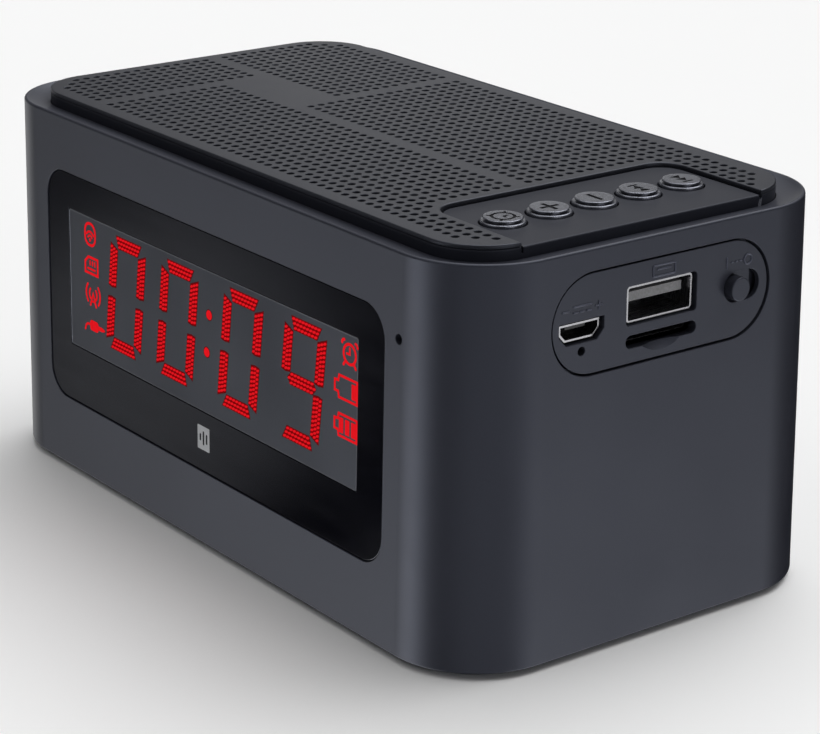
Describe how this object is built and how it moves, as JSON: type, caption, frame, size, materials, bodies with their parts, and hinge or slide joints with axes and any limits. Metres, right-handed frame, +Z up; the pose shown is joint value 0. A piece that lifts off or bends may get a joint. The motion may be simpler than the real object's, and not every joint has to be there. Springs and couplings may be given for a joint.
{
  "type": "clock radio",
  "caption": "Table clock radio: rounded box housing, raised perforated speaker deck with round keys, glowing digit display in a gloss front window, side panel of sockets with a slide switch.",
  "frame": {"origin": "on the table under the middle of the body, at the level of the feet", "axes": "+X to the right as the clock is read, -Y towards the front window, +Z up"},
  "size_m": [0.1397, 0.078, 0.0674],
  "materials": {
    "housing": "fine textured",
    "bottom": "fine textured",
    "feet": "matt",
    "steel": "plated",
    "deck": "fine textured",
    "grille": "rough powder coat",
    "cloth": "matt",
    "bezel": "polished",
    "tape": "foam",
    "face": "satin film",
    "lit": "lit red",
    "white_plastic": "matt",
    "board": "solder mask",
    "black_plastic": "matt",
    "panel": "fine textured",
    "socket_metal": "nickel plated",
    "key": "polished",
    "magnet": "ferrite and zinc plate",
    "basket": "satin",
    "surround": "matt",
    "cone": "pressed paper",
    "cell": "shrink sleeve",
    "red_wire": "PVC",
    "black_wire": "PVC",
    "ribbon": "film",
    "light": "epoxy lens"
  },
  "bodies": {
    "case": {"housing": "housing", "bottom_cover": "bottom", "rubber_feet": "feet", "cover_screws": "steel", "top_deck": "deck", "deck_screws": "steel", "grille_plate": "grille", "grille_cloth": "cloth", "display_bezel": "bezel", "bezel_tape": "tape", "display_face": "face", "display_digits": "lit", "display_icons": "lit", "display_reflector": "white_plastic", "display_board": "board", "display_screws": "steel", "microphone": "socket_metal", "microphone_boot": "feet", "socket_panel": "panel", "usb_shell": "socket_metal", "usb_tongue": "white_plastic", "charge_shell": "socket_metal", "charge_tongue": "black_plastic", "card_socket": "socket_metal", "charge_light": "light", "slide_switch": "socket_metal", "main_board": "board", "main_board_parts": "black_plastic", "board_screws": "steel", "key_board": "board", "key_switches": "socket_metal", "left_basket": "basket", "left_magnet": "magnet", "left_surround": "surround", "right_basket": "basket", "right_magnet": "magnet", "right_surround": "surround", "speaker_screws": "steel", "battery_tray": "bottom", "battery_cell": "cell", "battery_leads": "red_wire", "speaker_leads": "black_wire", "display_ribbon": "ribbon", "key_ribbon": "ribbon", "antenna_wire": "black_wire"},
    "key_alarm_body": {"key_alarm": "key", "plunger_alarm": "black_plastic"},
    "key_plus_body": {"key_plus": "key", "plunger_plus": "black_plastic"},
    "key_minus_body": {"key_minus": "key", "plunger_minus": "black_plastic"},
    "key_previous_body": {"key_previous": "key", "plunger_previous": "black_plastic"},
    "key_next_body": {"key_next": "key", "plunger_next": "black_plastic"},
    "power_slider": {"power_knob": "panel", "switch_lever": "white_plastic"},
    "left_cone_body": {"left_cone": "cone"},
    "right_cone_body": {"right_cone": "cone"}
  },
  "joints": [
    {"name": "key_alarm_press", "type": "slide", "parent": "case", "child": "key_alarm_body", "axis": [0, 0, -1], "range_m": [0, 0.0005], "stiffness_N_per_m": 2000},
    {"name": "key_plus_press", "type": "slide", "parent": "case", "child": "key_plus_body", "axis": [0, 0, -1], "range_m": [0, 0.0005], "stiffness_N_per_m": 2000},
    {"name": "key_minus_press", "type": "slide", "parent": "case", "child": "key_minus_body", "axis": [0, 0, -1], "range_m": [0, 0.0005], "stiffness_N_per_m": 2000},
    {"name": "key_previous_press", "type": "slide", "parent": "case", "child": "key_previous_body", "axis": [0, 0, -1], "range_m": [0, 0.0005], "stiffness_N_per_m": 2000},
    {"name": "key_next_press", "type": "slide", "parent": "case", "child": "key_next_body", "axis": [0, 0, -1], "range_m": [0, 0.0005], "stiffness_N_per_m": 2000},
    {"name": "power_slide", "type": "slide", "parent": "case", "child": "power_slider", "axis": [0, 1, 0], "range_m": [0, 0.0024]},
    {"name": "left_cone_travel", "type": "slide", "parent": "case", "child": "left_cone_body", "axis": [0, 0, 1], "range_m": [-0.0008, 0.0008], "stiffness_N_per_m": 1500, "deforming": ["left_surround"]},
    {"name": "right_cone_travel", "type": "slide", "parent": "case", "child": "right_cone_body", "axis": [0, 0, 1], "range_m": [-0.0008, 0.0008], "stiffness_N_per_m": 1500, "deforming": ["right_surround"]}
  ]
}
